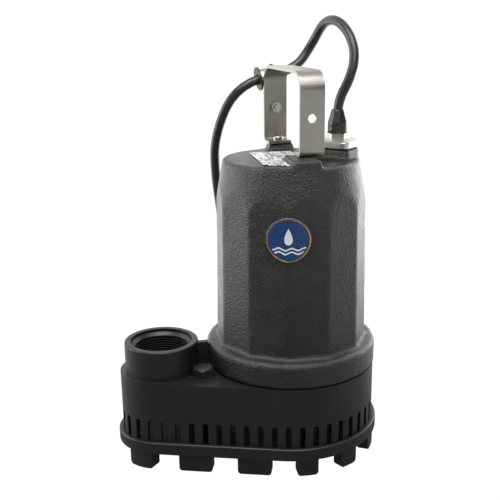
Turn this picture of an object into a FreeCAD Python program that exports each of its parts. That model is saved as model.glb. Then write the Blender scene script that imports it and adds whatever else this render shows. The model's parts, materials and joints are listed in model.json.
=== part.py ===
import FreeCAD, Part
import math
import os

# Submersible sump pump, upright on its feet. Millimetres, +Z up.
# The origin is the middle of the base outline on the floor.
# +X runs from the discharge port to the motor, -Y is the front.

V = FreeCAD.Vector
UP = V(0, 0, 1)

# Base outline: a large round end under the motor, a small one under the port
end_spacing = 113.0
motor_end_r = 72.5
port_end_r = 35.5

# Strainer base
foot_h = 14.4
foot_inset = 2.0
foot_depth = 9.0
foot_corner_r = 3.0
side_foot_w = 28.3
motor_foot_w = 17.8
port_foot_w = 22.9
motor_foot_count = 7
motor_foot_pitch = 30.6
port_foot_angle = 130.0
side_foot_shares = (0.325, 0.79)
floor_t = 4.0
lip_out = 3.8
lip_h = 10.9
lip_edge_r = 1.6

# Volute casing
casing_h = 58.8
wall_t = 4.0
deck_t = 4.0
slot_count = 50
slot_w = 4.9
slot_h = 25.2
slot_corner_r = 2.2
slot_start = 0.75
cover_t = 4.0
volute_h = 23.2
volute_wall_t = 3.5
volute_growth = 1.5
channel_w = 25.0
web_t = 5.0
web_h = 20.8

# Discharge port, 1-1/2 inch pipe thread
port_r = 31.0
port_h = 25.4
thread_crest_r = 22.2
thread_depth = 1.7
thread_pitch = 25.4 / 11.5
thread_count = 8
port_mouth_r = 25.9
port_mouth_depth = 2.6
port_mouth_slope = 2.4

# Motor housing
flange_r = 73.2
flange_h = 21.8
flange_edge_r = 4.0
facet_count = 12
body_foot_r = 64.8
body_top_r = 62.2
body_h = 176.4
rim_r = 56.5
rim_edge_r = 2.0
shoulder_slope = 0.179
housing_bore_r = 52.0
roof_t = 7.6
bearing_boss_r = 22.0

# Features on the housing's top face
pad_h = 5.9
rear_pad = (-9.5, 12.0, 39.5)
front_pad = (-11.0, 11.5, -20.0)
platform_h = 2.0
platform_x = (-33.0, 5.0)
platform_y = (-16.0, 20.0)
label_t = 0.4
label_margin = 1.2
gland_x = 40.0
gland_y = 2.0
gland_boss_h = 8.0
gland_side = 36.0
gland_corner_r = 6.0
gasket_t = 0.6
gland_plate_t = 5.1
gland_nut_af = 17.4
gland_nut_h = 5.3
sleeve_r = 8.1
sleeve_stem_r = 6.2
sleeve_h = 8.7
sleeve_cone_h = 10.4
sleeve_tip_r = 4.9
cord_socket_depth = 8.0
lead_hole_r = 4.5
lead_r = 1.1
fill_x = 26.0
fill_y = -37.0
fill_recess_r = 7.85
fill_recess_depth = 2.6
fill_thread_r = 4.8

# Handle strap
strap_w = 20.5
strap_t = 2.5
strap_span = 94.0
strap_h = 66.0
strap_foot_len = 15.0
strap_top_bend_r = 15.0
strap_foot_bend_r = 4.5
strap_x = 2.85
strap_y = 7.2
strap_turn = 5.8
strap_hole_r = 3.5
strap_hole_h = 30.0
handle_screw_r = 3.0
handle_screw_len = 9.0
handle_head_r = 4.6
handle_head_h = 2.8
handle_washer_r = 4.4
handle_washer_t = 1.0

# Cord clamp on the rear leg
cord_r = 4.1
clamp_reach = 25.0
clamp_turn = 11.0
clamp_w = 12.0
cushion_wall = 3.0
cushion_lip = 3.0
cushion_lip_t = 1.5
band_t = 1.0
tab_t = 2.6
clamp_screw_r = 2.5
clamp_nut_af = 8.0
clamp_nut_h = 4.0
clamp_head_r = 4.6
clamp_head_h = 3.2

# Rotor, bearings and seal
shaft_r = 7.5
shaft_mid_r = 8.5
bearing_out_r = 17.5
bearing_w = 11.0
ball_r = 3.0
ball_count = 8
race_t = 3.4
race_gap = 0.05
cage_t = 1.2
cage_w = 7.0
rotor_r = 27.6
air_gap = 0.4
stator_h = 65.0
stator_slot_count = 24
winding_h = 16.0
impeller_r = 45.0
vane_count = 6
vane_t = 3.0
vane_h = 9.0
shroud_t = 4.0
impeller_hub_r = 11.0
impeller_gap = 1.2
volute_gap = 4.0
eye_r = 20.0
seal_plate_t = 7.0
seal_plate_r = 57.4
spigot_over = 2.0
spigot_h = 5.0
seal_r = 13.0
seal_cup_t = 2.0
o_ring_r = 1.5
capacitor_r = 12.5
capacitor_h = 34.0
capacitor_out = 36.5

# Fasteners
deck_bolt_x = -43.0
deck_bolt_y = 24.5
deck_bolt_r = 4.0
deck_bolt_af = 16.5
deck_bolt_head_h = 7.5
deck_column_r = 7.0
deck_nut_af = 13.0
deck_nut_h = 6.5
flange_bolt_circle_r = 62.5
flange_bolt_r = 2.5
flange_bolt_len = 16.0
flange_bolt_head_r = 4.2
flange_bolt_head_h = 5.0
flange_bolt_angles = (45, 135, 225, 315)
strainer_screw_angles = (0, 90, 270)
strainer_screw_r = 2.1
strainer_screw_len = 18.0
strainer_head_r = 3.4
strainer_head_h = 3.0
strainer_column_r = 5.5
cover_screw_angles = (35, 120, 240, 325)
cover_screw_port_angles = (120, 240)
cover_screw_r = 1.5
cover_screw_len = 10.0
cover_head_r = 2.6
cover_head_h = 2.2
cover_ear_r = 5.2

# Clearances
fit_gap = 0.2
screw_gap = 0.05
seal_gap = 0.1

# Badge
badge_r = 18.0
badge_t = 0.8
badge_h = 122.0
badge_angle = -105.0

# Places worked out from the sizes above
motor_x = (end_spacing + port_end_r - motor_end_r) / 2
port_x = motor_x - end_spacing
side_lean = math.asin((motor_end_r - port_end_r) / end_spacing)
side_len = math.sqrt(end_spacing ** 2 - (motor_end_r - port_end_r) ** 2)
motor_arc = motor_end_r * (math.pi + 2 * side_lean)
port_arc = port_end_r * (math.pi - 2 * side_lean)
outline_len = 2 * side_len + motor_arc + port_arc

floor_z = foot_h + floor_t
lip_top_z = foot_h + lip_h
deck_z = floor_z + casing_h
volute_top_z = deck_z - deck_t
cover_top_z = volute_top_z - volute_h
cover_z = cover_top_z - cover_t
port_top_z = deck_z + port_h
flange_top_z = deck_z + flange_h
top_z = deck_z + body_h
roof_z = top_z - roof_t
pad_z = top_z + pad_h
strap_z = pad_z
strap_top_z = strap_z + strap_h
hole_z = strap_z + strap_hole_h

seal_plate_z = deck_z + seal_plate_t
counterbore_z = seal_plate_z + 1.0
impeller_z = cover_top_z + impeller_gap
spigot_r = impeller_r + spigot_over
shroud_z = impeller_z + vane_h
hub_top_z = shroud_z + shroud_t
lower_bearing_z = seal_plate_z + 5.8
lower_bearing_top_z = lower_bearing_z + bearing_w
stator_z = lower_bearing_top_z + 19.0
stator_top_z = stator_z + stator_h
upper_bearing_z = roof_z - 26.0
upper_bearing_top_z = upper_bearing_z + bearing_w
preload_t = 1.0

gland_top_z = top_z + gland_boss_h
plate_z = gland_top_z + gasket_t
nut_z = plate_z + gland_plate_t
sleeve_z = nut_z + gland_nut_h
cone_z = sleeve_z + sleeve_h
sleeve_tip_z = cone_z + sleeve_cone_h
cord_start_z = sleeve_tip_z - cord_socket_depth

# The power cord's route, chosen point by point: out of the sleeve, over in an
# arch, through the clamp, down behind the motor and along the floor
cord_route = [
    (78.0, 2.0, 283.7),
    (78.0, 2.0, 298.0),
    (86.0, -1.8, 314.5),
    (92.0, 0.8, 332.0),
    (90.7, 9.5, 349.5),
    (84.5, 28.5, 362.5),
    (80.0, 55.0, 361.0),
    (73.5, 71.0, 340.5),
    (56.7, 66.3, 319.2),
    (3.9, 60.9, 308.8),
    (-15.0, 71.5, 264.0),
    (-14.5, 75.5, 227.0),
    (-9.0, 79.5, 190.0),
    (-6.3, 84.5, 148.0),
    (-5.0, 89.5, 104.0),
    (-4.5, 96.5, 62.0),
    (-4.3, 108.5, 29.0),
    (-4.3, 127.0, 13.3),
    (-4.3, 145.0, 13.3),
]
coil_x = 56.0
coil_y = 145.0
coil_mean_r = 48.0
coil_columns = 4
coil_layers = 2
coil_z = 1.0
tie_w = 8.0
tie_t = 0.9
tail_route = [
    (9.8, 183.8, 5.1),
    (20.5, 196.6, 5.1),
    (31.0, 209.2, 5.4),
    (42.5, 216.8, 7.5),
    (55.5, 218.5, 10.0),
    (69.0, 218.5, 10.0),
]
plug_len = 34.0
plug_w = 26.0
plug_t = 20.0
plug_neck_len = 16.0
plug_neck_r = 6.5
blade_w = 6.3
blade_t = 1.5
blade_len = 17.0
blade_spacing = 12.7
ground_pin_r = 2.4
ground_pin_len = 20.0


def corner_wire(points, radii):
    """A closed wire through the points, with each corner rounded to its radius."""
    corners = []
    for i, corner in enumerate(points):
        back = (points[i - 1] - corner).normalize()
        ahead = (points[(i + 1) % len(points)] - corner).normalize()
        half = back.getAngle(ahead) / 2
        reach = radii[i] / math.tan(half)
        rise = radii[i] / math.sin(half) - radii[i]
        middle = corner + (back + ahead).normalize() * rise
        corners.append((corner + back * reach, middle, corner + ahead * reach))
    edges = []
    for i, (start, middle, end) in enumerate(corners):
        if radii[i] > 0:
            edges.append(Part.Arc(start, middle, end).toShape())
        following = corners[(i + 1) % len(corners)][0]
        if end.distanceToPoint(following) > 1e-6:
            edges.append(Part.LineSegment(end, following).toShape())
    return Part.Wire(edges)


def turned(points, x=0.0, y=0.0):
    """A solid turned about the upright axis at x, y from (radius, height, corner) points."""
    wire = corner_wire([V(r, 0, z) for r, z, c in points], [c for r, z, c in points])
    solid = Part.Face(wire).revolve(V(0, 0, 0), UP, 360)
    solid.translate(V(x, y, 0))
    return solid


def disc(r, z0, z1, x=0.0, y=0.0):
    return Part.makeCylinder(r, z1 - z0, V(x, y, z0))


def ring(inner_r, outer_r, z0, z1, x=0.0, y=0.0):
    return disc(outer_r, z0, z1, x, y).cut(disc(inner_r, z0, z1, x, y))


def block(x0, x1, y0, y1, z0, z1):
    return Part.makeBox(x1 - x0, y1 - y0, z1 - z0, V(x0, y0, z0))


def prism(points, radii, z0, z1):
    """An upright prism on a rounded plan outline."""
    wire = corner_wire([V(x, y, z0) for x, y in points], radii)
    return Part.Face(wire).extrude(V(0, 0, z1 - z0))


def hexagon(across_flats, z0, z1, x, y, turn=0.0):
    corner_r = across_flats / 2 / math.cos(math.pi / 6)
    points = [around(corner_r, turn + 60 * i, x, y) for i in range(6)]
    return prism(points, [0] * 6, z0, z1)


def around(r, angle, x=0.0, y=0.0):
    turn = math.radians(angle)
    return (x + r * math.cos(turn), y + r * math.sin(turn))


def fused(solids):
    whole = solids[0].multiFuse(solids[1:])
    return whole.removeSplitter()


def group(solids):
    return Part.makeCompound(solids)


def outline(offset, z0, z1):
    """The base outline, moved outwards by an offset, as an upright prism."""
    big = motor_end_r + offset
    small = port_end_r + offset
    top = math.pi / 2 + side_lean

    def at(centre_x, r, turn):
        return V(centre_x + r * math.cos(turn), r * math.sin(turn), z0)

    motor_end = Part.Arc(at(motor_x, big, -top), at(motor_x, big, 0), at(motor_x, big, top))
    port_end = Part.Arc(at(port_x, small, top), at(port_x, small, math.pi), at(port_x, small, -top))
    back = Part.LineSegment(at(motor_x, big, top), at(port_x, small, top))
    front = Part.LineSegment(at(port_x, small, -top), at(motor_x, big, -top))
    wire = Part.Wire([e.toShape() for e in (motor_end, back, port_end, front)])
    return Part.Face(wire).extrude(V(0, 0, z1 - z0))


def outline_place(distance):
    """Point and outward angle at a distance along the outline, from the front side's port end."""
    left = distance % outline_len
    top = math.pi / 2 + side_lean
    if left < side_len:
        share = left / side_len
        x0, y0 = around(port_end_r, math.degrees(-top), port_x)
        x1, y1 = around(motor_end_r, math.degrees(-top), motor_x)
        return (x0 + (x1 - x0) * share, y0 + (y1 - y0) * share, math.degrees(-top))
    left -= side_len
    if left < motor_arc:
        angle = math.degrees(-top + left / motor_end_r)
        return around(motor_end_r, angle, motor_x) + (angle,)
    left -= motor_arc
    if left < side_len:
        share = left / side_len
        x0, y0 = around(motor_end_r, math.degrees(top), motor_x)
        x1, y1 = around(port_end_r, math.degrees(top), port_x)
        return (x0 + (x1 - x0) * share, y0 + (y1 - y0) * share, math.degrees(top))
    angle = math.degrees(top + (left - side_len) / port_end_r)
    return around(port_end_r, angle, port_x) + (angle,)


def wall_tool(place, width, z0, z1, inward, outward, low_r, high_r):
    """A slab across the wall at a place on the outline, with rounded low and high corners."""
    x, y, angle = place
    half = width / 2
    points = [V(-inward, -half, z0), V(-inward, half, z0), V(-inward, half, z1), V(-inward, -half, z1)]
    wire = corner_wire(points, [low_r, low_r, high_r, high_r])
    slab = Part.Face(wire).extrude(V(inward + outward, 0, 0))
    slab.rotate(V(0, 0, 0), UP, angle)
    slab.translate(V(x, y, 0))
    return slab


def foot_places():
    """(distance along the outline, width) of each foot; the back mirrors the front."""
    start = side_len + motor_end_r * (math.pi / 2 + side_lean)
    places = []
    for i in range(motor_foot_count):
        angle = motor_foot_pitch * (i - (motor_foot_count - 1) / 2)
        places.append((start + motor_end_r * math.radians(angle), motor_foot_w))
    back = side_len + motor_arc
    for share in side_foot_shares:
        places.append((side_len * share, side_foot_w))
        places.append((back + side_len * (1 - share), side_foot_w))
    port_step = port_end_r * (math.radians(port_foot_angle) - math.pi / 2 - side_lean)
    places.append((-port_step, port_foot_w))
    places.append((back + side_len + port_step, port_foot_w))
    return places


def strainer_screw_spots():
    """The strainer's screws stand just inside the ring of feet."""
    reach = motor_end_r + lip_out - foot_inset - foot_depth - strainer_head_r - fit_gap
    return [around(reach, a, motor_x) for a in strainer_screw_angles]


def strainer_columns(r, z0, z1):
    return [disc(r, z0, z1, x, y) for x, y in strainer_screw_spots()]


def deck_columns(r, z0, z1):
    return [disc(r, z0, z1, deck_bolt_x, y) for y in (-deck_bolt_y, deck_bolt_y)]


def cover_screw_spots():
    largest = impeller_r + volute_gap + 3 * volute_growth
    spots = [around(largest + 3.0, a, motor_x) for a in cover_screw_angles]
    in_boss = (port_well_r + port_end_r - wall_t) / 2
    return spots + [around(in_boss, a, port_x) for a in cover_screw_port_angles]


port_well_r = thread_crest_r + thread_depth + 1.0


def volute(offset, z0, z1):
    """The collector round the impeller, a spiral of four quarter arcs, and its channel to the port."""
    r = impeller_r + volute_gap + offset
    centre = V(motor_x, 0, z0)
    steps = [V(volute_growth, 0, 0), V(0, volute_growth, 0), V(-volute_growth, 0, 0)]
    edges = []
    for quarter in range(4):
        turn = math.pi + quarter * math.pi / 2
        ends = [centre + V(math.cos(turn + a), math.sin(turn + a), 0) * r
                for a in (0, math.pi / 4, math.pi / 2)]
        edges.append(Part.Arc(ends[0], ends[1], ends[2]).toShape())
        if quarter == 0:
            first = ends[0]
        if quarter < 3:
            centre = centre - V(math.cos(turn + math.pi / 2), math.sin(turn + math.pi / 2), 0) * volute_growth
            r += volute_growth
    edges.append(Part.LineSegment(ends[2], first).toShape())
    spiral = Part.Face(Part.Wire(edges)).extrude(V(0, 0, z1 - z0))
    half = channel_w / 2 + offset
    channel = block(port_x, motor_x, -half, half, z0, z1)
    well = disc(port_well_r + offset, z0, z1, port_x)
    return fused([spiral, channel, well])


def volute_casing():
    shell = outline(0, floor_z, deck_z).cut(outline(-wall_t, floor_z, volute_top_z))
    inside = outline(-wall_t / 2, floor_z, deck_z)
    wall = volute(volute_wall_t, cover_top_z, volute_top_z)
    boss = disc(port_end_r, cover_top_z, volute_top_z, port_x)
    ears = [disc(cover_ear_r, cover_top_z, volute_top_z, x, y) for x, y in cover_screw_spots()]
    columns = strainer_columns(strainer_column_r, floor_z, volute_top_z)
    columns += deck_columns(deck_column_r, floor_z, volute_top_z)
    inner = fused([wall, boss] + ears + columns).common(inside)
    port = turned([(0, deck_z - 1, 0), (port_r, deck_z - 1, 0), (port_r, port_top_z, 1.2),
                   (0, port_top_z, 0)], port_x)
    web_end = motor_x - flange_r - fit_gap
    web = block(port_x + port_r - 2, web_end, -web_t / 2, web_t / 2, deck_z - 1, deck_z + web_h)
    body = fused([shell, inner, port, web])
    cuts = [volute(0, cover_top_z, volute_top_z)]
    cuts.append(disc(spigot_r + fit_gap, volute_top_z - 1, deck_z + 1, motor_x))
    cuts.append(port_cut())
    cuts += slots()
    cuts += strainer_columns(strainer_screw_r + screw_gap, floor_z - 1, foot_h + strainer_screw_len + 1)
    cuts += deck_columns(deck_bolt_r + screw_gap, floor_z - 1, deck_z + 1)
    screw_top = cover_z + cover_screw_len + 1
    cuts += [disc(cover_screw_r + screw_gap, cover_top_z - 1, screw_top, x, y)
             for x, y in cover_screw_spots()]
    cuts += flange_holes(flange_bolt_r + fit_gap, volute_top_z - 1, deck_z + 1)
    return body.cut(group(cuts))


def slots():
    pitch = outline_len / slot_count
    top = floor_z + slot_h
    return [wall_tool(outline_place((i + slot_start) * pitch), slot_w, floor_z - 1, top,
                      wall_t + 1, 3, 0, slot_corner_r) for i in range(slot_count)]


def port_cut():
    """The port's bore with ring grooves at the thread's pitch, and its wide mouth."""
    top = port_top_z + 1
    low = volute_top_z - 1
    mouth = port_top_z - port_mouth_depth
    points = [(0, low), (port_well_r, low), (port_well_r, volute_top_z), (thread_crest_r, volute_top_z)]
    first = mouth - port_mouth_slope - thread_pitch * (thread_count + 0.5)
    land = thread_pitch * 0.12
    for i in range(thread_count):
        z = first + thread_pitch * i
        points += [(thread_crest_r, z + land), (thread_crest_r + thread_depth, z + thread_pitch / 2),
                   (thread_crest_r, z + thread_pitch - land)]
    points += [(thread_crest_r, mouth - port_mouth_slope), (port_mouth_r - 1.2, mouth),
               (port_mouth_r, mouth), (port_mouth_r, top), (0, top)]
    return turned([(r, z, 0) for r, z in points], port_x)


def strainer_base():
    plate = outline(lip_out, foot_h, floor_z)
    rim = outline(lip_out, floor_z, lip_top_z).cut(outline(fit_gap, floor_z, lip_top_z))
    lip = fused([plate, rim])
    outer = [e for e in lip.Edges if is_lip_edge(e)]
    lip = lip.makeFillet(min(lip_edge_r, lip_out * 0.45), outer)
    band = outline(lip_out - foot_inset, 0, foot_h + 1)
    band = band.cut(outline(lip_out - foot_inset - foot_depth, 0, foot_h + 1))
    feet = [wall_tool(outline_place(s), w, 0, foot_h + 1, 3 * foot_depth, 2 * lip_out, foot_corner_r, 0)
            for s, w in foot_places()]
    feet = band.common(group(feet))
    body = fused([lip] + feet.Solids)
    cuts = strainer_columns(strainer_screw_r + fit_gap, foot_h - 1, floor_z + 1)
    cuts += deck_columns(deck_bolt_r + fit_gap, foot_h - 1, floor_z + 1)
    return body.cut(group(cuts))


def is_lip_edge(edge):
    """True for the outer edges of the lip, at its top and at its underside."""
    box = edge.BoundBox
    level = box.ZLength < 1e-6 and (abs(box.ZMin - lip_top_z) < 1e-6 or abs(box.ZMin - foot_h) < 1e-6)
    point = edge.valueAt((edge.FirstParameter + edge.LastParameter) / 2)
    rim = outline(lip_out - 0.1, foot_h - 1, lip_top_z + 1)
    return level and not rim.isInside(point, 1e-6, True)


def volute_cover():
    plate = volute(volute_wall_t - fit_gap, cover_z, cover_top_z)
    ears = [disc(cover_ear_r, cover_z, cover_top_z, x, y) for x, y in cover_screw_spots()]
    collar = disc(eye_r + 3, cover_z - 6, cover_z, motor_x)
    body = fused([plate, collar] + ears).common(outline(-wall_t - fit_gap, floor_z, deck_z))
    cuts = [disc(eye_r, cover_z - 7, cover_top_z + 1, motor_x)]
    cuts += [disc(cover_screw_r + fit_gap, cover_z - 1, cover_top_z + 1, x, y)
             for x, y in cover_screw_spots()]
    cuts += strainer_columns(strainer_column_r + fit_gap, cover_z - 1, cover_top_z + 1)
    cuts += deck_columns(deck_column_r + fit_gap, cover_z - 1, cover_top_z + 1)
    return body.cut(group(cuts))


def cover_screws():
    return group([pan_screw(cover_screw_r, cover_screw_len, cover_head_r, cover_head_h, cover_z, x, y)
                  for x, y in cover_screw_spots()])


def pan_screw(r, length, head_r, head_h, seat_z, x, y):
    """A cross-slotted screw that goes up from a seat, with its head below."""
    head = turned([(0, seat_z - head_h, 0), (head_r, seat_z - head_h, head_h * 0.6), (head_r, seat_z, 0),
                   (r, seat_z, 0), (r, seat_z + length, r * 0.4), (0, seat_z + length, 0)], x, y)
    arm = head_r * 0.6
    low = seat_z - head_h - 1
    deep = seat_z - head_h * 0.5
    cross = block(x - arm, x + arm, y - 0.5, y + 0.5, low, deep)
    cross = cross.fuse(block(x - 0.5, x + 0.5, y - arm, y + arm, low, deep))
    return head.cut(cross)


def strainer_screws():
    return group([pan_screw(strainer_screw_r, strainer_screw_len, strainer_head_r, strainer_head_h,
                            foot_h, x, y) for x, y in strainer_screw_spots()])


def deck_bolts():
    bolts = []
    for y in (-deck_bolt_y, deck_bolt_y):
        head = hexagon(deck_bolt_af, deck_z, deck_z + deck_bolt_head_h, deck_bolt_x, y, 17)
        crown = turned([(0, deck_z, 0), (deck_bolt_af * 0.6, deck_z, 0),
                        (deck_bolt_af * 0.6, deck_z + deck_bolt_head_h * 0.8, 0),
                        (deck_bolt_af * 0.44, deck_z + deck_bolt_head_h, 0),
                        (0, deck_z + deck_bolt_head_h, 0)], deck_bolt_x, y)
        shank = disc(deck_bolt_r, foot_h - deck_nut_h - 2, deck_z, deck_bolt_x, y)
        bolts.append(fused([head.common(crown), shank]))
    return group(bolts)


def deck_nuts():
    low = foot_h - deck_nut_h
    return group([hexagon(deck_nut_af, low, foot_h, deck_bolt_x, y)
                  .cut(disc(deck_bolt_r + screw_gap, low - 1, foot_h + 1, deck_bolt_x, y))
                  for y in (-deck_bolt_y, deck_bolt_y)])


def flange_holes(r, z0, z1):
    spots = [around(flange_bolt_circle_r, a, motor_x) for a in flange_bolt_angles]
    return [disc(r, z0, z1, x, y) for x, y in spots]


def flange_bolts():
    bolts = []
    for a in flange_bolt_angles:
        x, y = around(flange_bolt_circle_r, a, motor_x)
        head = disc(flange_bolt_head_r, volute_top_z - flange_bolt_head_h, volute_top_z, x, y)
        socket = hexagon(4.0, volute_top_z - flange_bolt_head_h - 1, volute_top_z - 2.5, x, y)
        shank = disc(flange_bolt_r, volute_top_z, volute_top_z + flange_bolt_len, x, y)
        bolts.append(fused([head.cut(socket), shank]))
    return group(bolts)


def facets(r, z):
    turn = 180 / facet_count
    points = [around(r, turn + i * 360 / facet_count, motor_x) for i in range(facet_count)]
    return corner_wire([V(x, y, z) for x, y in points], [0] * facet_count)


def top_trim(z0, z1):
    return disc(rim_r, z0, z1, motor_x)


def front_pad_block():
    x0, x1, y1 = front_pad
    return block(motor_x + x0, motor_x + x1, -rim_r, y1, top_z - 1, pad_z)


def rear_pad_block():
    x0, x1, y0 = rear_pad
    return block(motor_x + x0, motor_x + x1, y0, rim_r, top_z - 1, pad_z)


def platform_plan(margin, z0, z1):
    """The raised L-shaped seat of the label, beside the front pad."""
    left, right = motor_x + platform_x[0] + margin, motor_x + platform_x[1] - margin
    low, high = platform_y[0] + margin, platform_y[1] - margin
    leg = block(left, motor_x + front_pad[0] - margin, -rim_r, low + 1, z0, z1)
    return fused([block(left, right, low, high, z0, z1), leg])


def gland_plan(inset, z0, z1):
    """A rounded square set on its corner, trimmed where it meets the housing's rim."""
    half = (gland_side / 2 - inset) * math.sqrt(2)
    x, y = motor_x + gland_x, gland_y
    points = [(x + half, y), (x, y + half), (x - half, y), (x, y - half)]
    square = prism(points, [gland_corner_r - inset] * 4, z0, z1)
    return square.common(disc(rim_r - inset, z0, z1, motor_x))


def motor_housing():
    body = Part.makeLoft([facets(body_foot_r, deck_z + 6), facets(body_top_r, top_z)], True, True)
    low_r = rim_r + shoulder_slope * (top_z - deck_z)
    cone = turned([(0, deck_z, 0), (low_r, deck_z, 0), (rim_r, top_z, rim_edge_r), (0, top_z, 0)], motor_x)
    flange = turned([(0, deck_z, 0), (flange_r, deck_z, 0), (flange_r, flange_top_z, flange_edge_r),
                     (0, flange_top_z, 0)], motor_x)
    features = [front_pad_block(), rear_pad_block()]
    features.append(platform_plan(0, top_z - 1, top_z + platform_h))
    features = [f.common(top_trim(top_z - 1, pad_z)) for f in features]
    features.append(gland_plan(0, top_z - 1, gland_top_z))
    whole = fused([body.common(cone), flange] + features)
    boss_z = upper_bearing_z - 2
    bore = disc(housing_bore_r, counterbore_z, roof_z, motor_x)
    bore = bore.cut(disc(bearing_boss_r, boss_z, roof_z, motor_x))
    cuts = [bore, disc(seal_plate_r + fit_gap, deck_z - 1, counterbore_z, motor_x)]
    pocket_top = upper_bearing_top_z + preload_t
    cuts.append(disc(bearing_out_r, boss_z - 1, pocket_top, motor_x))
    cuts.append(disc(shaft_mid_r + 1, pocket_top - 1, pocket_top + 3, motor_x))
    cuts.append(disc(lead_hole_r, roof_z - 1, gland_top_z + 1, motor_x + gland_x, gland_y))
    cuts.append(disc(fill_recess_r, top_z - fill_recess_depth, pad_z + 1, motor_x + fill_x, fill_y))
    cuts.append(disc(fill_thread_r + screw_gap, roof_z - 1, top_z, motor_x + fill_x, fill_y))
    cuts += flange_holes(flange_bolt_r + screw_gap, deck_z - 1, volute_top_z + flange_bolt_len + 1)
    screw_low = pad_z - handle_screw_len
    cuts += [on_handle(disc(handle_screw_r + screw_gap, screw_low, pad_z + 1, u, 0)) for u in screw_places()]
    return whole.cut(group(cuts))


def on_handle(shape):
    """Moves a shape from the strap's own frame, X along the strap to the front, to the pump."""
    moved = shape.copy()
    moved.rotate(V(0, 0, 0), UP, strap_turn - 90)
    moved.translate(V(motor_x + strap_x, strap_y, 0))
    return moved


def screw_places():
    middle = strap_span / 2 - (strap_foot_bend_r + strap_foot_len) / 2 + 0.4
    return (-middle, middle)


def cross_cylinder(r, u0, u1, z):
    return Part.makeCylinder(r, u1 - u0, V(u0, 0, z), V(1, 0, 0))


def strap_outline(inset, low_r, high_r, half_w):
    half = strap_span / 2 - inset
    low, high = strap_z + inset, strap_top_z - inset
    points = [V(-half, -half_w, low), V(half, -half_w, low), V(half, -half_w, high), V(-half, -half_w, high)]
    return Part.Face(corner_wire(points, [low_r, low_r, high_r, high_r])).extrude(V(0, 2 * half_w, 0))


def handle_strap():
    outer = strap_outline(0, strap_foot_bend_r, strap_top_bend_r, strap_w / 2)
    inner = strap_outline(strap_t, strap_foot_bend_r - strap_t, strap_top_bend_r - strap_t, strap_w)
    gap = strap_span / 2 - strap_foot_len
    opening = block(-gap, gap, -strap_w, strap_w, strap_z - 1, strap_z + strap_t + 1)
    holes = [cross_cylinder(strap_hole_r, -strap_span, strap_span, hole_z)]
    holes += [disc(handle_screw_r + fit_gap, strap_z - 1, strap_z + strap_t + 1, u, 0) for u in screw_places()]
    return on_handle(outer.cut(group([inner, opening] + holes)))


def handle_washers():
    low = strap_z + strap_t
    high = low + handle_washer_t
    return group([on_handle(ring(handle_screw_r + fit_gap, handle_washer_r, low, high, u, 0))
                  for u in screw_places()])


def handle_screws():
    seat = strap_z + strap_t + handle_washer_t
    top = seat + handle_head_h
    screws = []
    for u in screw_places():
        head = turned([(0, seat - 0.5, 0), (handle_screw_r, seat - 0.5, 0), (handle_screw_r, seat, 0),
                       (handle_head_r, seat, 0), (handle_head_r, top, handle_head_h * 0.7), (0, top, 0)], u, 0)
        shank = disc(handle_screw_r, pad_z - handle_screw_len + 1, seat, u, 0)
        socket = hexagon(4.0, top - 1.6, top + 1, u, 0)
        screws.append(on_handle(fused([head, shank]).cut(socket)))
    return group(screws)


def on_clamp(shape):
    """Moves a shape from the clamp's own frame to the handle's rear leg.

    There the leg's outer face is at X = 0, the screw's axis is X, the cord's bore
    runs along Y, and the bore's centre is straight above the screw."""
    moved = shape.copy()
    moved.rotate(V(0, 0, 0), V(1, 0, 0), clamp_turn)
    moved.translate(V(-strap_span / 2, 0, hole_z))
    return on_handle(moved)


cushion_r = cord_r + cushion_wall
cushion_lip_r = cushion_r + cushion_lip
band_r = cushion_r + band_t
clamp_out = cushion_lip_r


def cord_barrel(r, half_w):
    return Part.makeCylinder(r, 2 * half_w, V(-clamp_out, -half_w, clamp_reach), V(0, 1, 0))


def clamp_cushion():
    half = clamp_w / 2
    whole = cord_barrel(cushion_lip_r, half + cushion_lip_t)
    whole = whole.cut(cord_barrel(cushion_lip_r + 1, half))
    whole = fused([whole, cord_barrel(cushion_r, half)])
    return on_clamp(whole.cut(cord_barrel(cord_r + screw_gap, half + 5)))


def clamp_band():
    half = clamp_w / 2
    loop = cord_barrel(band_r, half)
    low = -clamp_w / 2 - 0.5
    tab = block(-tab_t, 0, -half, half, low, clamp_reach)
    whole = fused([loop, tab]).cut(cord_barrel(cushion_r, half + 1))
    hole = cross_cylinder(clamp_screw_r + fit_gap, -tab_t - 1, 1, 0)
    return on_clamp(whole.cut(hole))


def clamp_screw():
    head = cross_cylinder(clamp_head_r, -tab_t - clamp_head_h, -tab_t, 0)
    head = head.makeFillet(clamp_head_h * 0.5, [e for e in head.Edges if e.BoundBox.XMax < -tab_t - 1
                                                 and e.BoundBox.XLength < 1e-6])
    shank = cross_cylinder(clamp_screw_r, -tab_t, strap_t + clamp_nut_h + 2.5, 0)
    return on_clamp(fused([head, shank]))


def clamp_nut():
    nut = hexagon(clamp_nut_af, strap_t, strap_t + clamp_nut_h, 0, 0)
    nut = nut.cut(disc(clamp_screw_r + screw_gap, 0, strap_t + clamp_nut_h + 1))
    nut.rotate(V(0, 0, 0), V(0, 1, 0), 90)
    return on_clamp(nut)


def label_plate():
    z = top_z + platform_h
    plan = platform_plan(label_margin, z, z + label_t)
    return plan.common(disc(rim_r - label_margin - rim_edge_r, z, z + label_t, motor_x))


def gland_gasket():
    return gland_plan(0.5, gland_top_z, plate_z).cut(
        disc(sleeve_stem_r + fit_gap, gland_top_z - 1, plate_z + 1, motor_x + gland_x, gland_y))


def gland_plate():
    x, y = motor_x + gland_x, gland_y
    plate = gland_plan(0.2, plate_z, nut_z)
    rounded = plate.makeFillet(gland_plate_t * 0.25, [e for e in plate.Edges if e.BoundBox.ZMin > nut_z - 1e-6])
    return rounded.cut(disc(sleeve_stem_r + fit_gap, plate_z - 1, nut_z + 1, x, y))


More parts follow.
